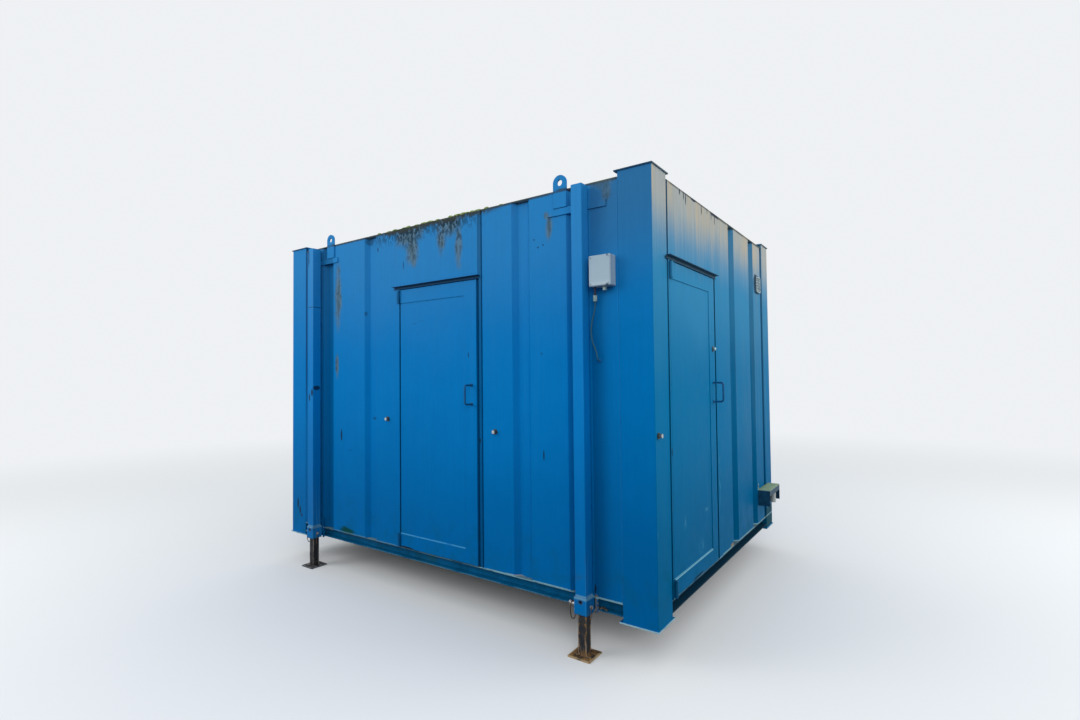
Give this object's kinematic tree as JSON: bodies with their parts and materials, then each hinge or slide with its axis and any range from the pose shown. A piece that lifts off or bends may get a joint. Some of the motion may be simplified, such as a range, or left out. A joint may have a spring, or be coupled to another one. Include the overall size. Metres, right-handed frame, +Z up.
{
  "type": "portable site cabin",
  "caption": "Pressed-steel portable site cabin with folded corner posts, two hinged doors, lifting eyes and telescoping jack legs.",
  "frame": {"origin": "on the ground, under the middle of the whole part's box", "axes": "+Z up; -Y out of the long front wall with its door; +X out of the end wall with the second door"},
  "size_m": [3.814, 3.008, 2.958],
  "materials": {
    "blue_paint": "worn gloss paint",
    "rusted_leg_steel": "rusted",
    "bright_steel": "worn bright",
    "grey_plastic": "moulded",
    "floor_board": "plain board",
    "cable_sheath": "smooth sheath",
    "underframe_paint": "dull paint"
  },
  "bodies": {
    "cabin": {"back_wall": "blue_paint", "bottom_rails": "blue_paint", "cable": "cable_sheath", "cable_glands": "grey_plastic", "corner_post_back_left": "blue_paint", "corner_post_back_right": "blue_paint", "corner_post_front_left": "blue_paint", "corner_post_front_right": "blue_paint", "door_hinge_pins": "blue_paint", "drip_angles": "blue_paint", "end_door_head_and_sill": "blue_paint", "end_door_jambs": "blue_paint", "end_wall": "blue_paint", "end_wall_header": "blue_paint", "floor_deck": "floor_board", "floor_joists": "underframe_paint", "front_door_head_and_sill": "blue_paint", "front_door_jambs": "blue_paint", "front_wall_header": "blue_paint", "front_wall_left": "blue_paint", "front_wall_right": "blue_paint", "jack_housing_back_left": "blue_paint", "jack_housing_back_right": "blue_paint", "jack_housing_front_left": "blue_paint", "jack_housing_front_right": "blue_paint", "jack_straps": "blue_paint", "junction_box": "grey_plastic", "left_end_wall": "blue_paint", "lifting_eye_back_left": "blue_paint", "lifting_eye_back_right": "blue_paint", "lifting_eye_front_left": "blue_paint", "lifting_eye_front_right": "blue_paint", "post_base_plates": "blue_paint", "post_cap_plates": "blue_paint", "roof": "blue_paint", "service_hood": "blue_paint", "vent": "grey_plastic", "wall_studs": "bright_steel", "waste_pipe": "grey_plastic"},
    "front_door": {"front_door_leaf": "blue_paint", "front_door_handle": "blue_paint", "front_door_hinge_barrels": "blue_paint"},
    "end_door": {"end_door_leaf": "blue_paint", "end_door_handle": "blue_paint", "end_door_hinge_barrels": "blue_paint", "end_door_lock": "bright_steel"},
    "jack_front_left": {"jack_leg_front_left": "rusted_leg_steel", "jack_collar_front_left": "blue_paint"},
    "jack_front_right": {"jack_leg_front_right": "rusted_leg_steel", "jack_collar_front_right": "blue_paint"},
    "jack_back_right": {"jack_leg_back_right": "rusted_leg_steel", "jack_collar_back_right": "blue_paint"},
    "jack_back_left": {"jack_leg_back_left": "rusted_leg_steel", "jack_collar_back_left": "blue_paint"}
  },
  "joints": [
    {"name": "front_door_hinge", "type": "hinge", "parent": "cabin", "child": "front_door", "pos_m": [-0.363, -1.389, 0.341], "axis": [0, 0, -1], "range_deg": [0, 105]},
    {"name": "end_door_hinge", "type": "hinge", "parent": "cabin", "child": "end_door", "pos_m": [1.8215, -1.1365, 0.341], "axis": [0, 0, -1], "range_deg": [0, 105]},
    {"name": "jack_slide_front_left", "type": "slide", "parent": "cabin", "child": "jack_front_left", "axis": [0, 0, -1], "range_m": [0, 0.35]},
    {"name": "jack_slide_front_right", "type": "slide", "parent": "cabin", "child": "jack_front_right", "axis": [0, 0, -1], "range_m": [0, 0.35]},
    {"name": "jack_slide_back_right", "type": "slide", "parent": "cabin", "child": "jack_back_right", "axis": [0, 0, -1], "range_m": [0, 0.35]},
    {"name": "jack_slide_back_left", "type": "slide", "parent": "cabin", "child": "jack_back_left", "axis": [0, 0, -1], "range_m": [0, 0.35]}
  ]
}
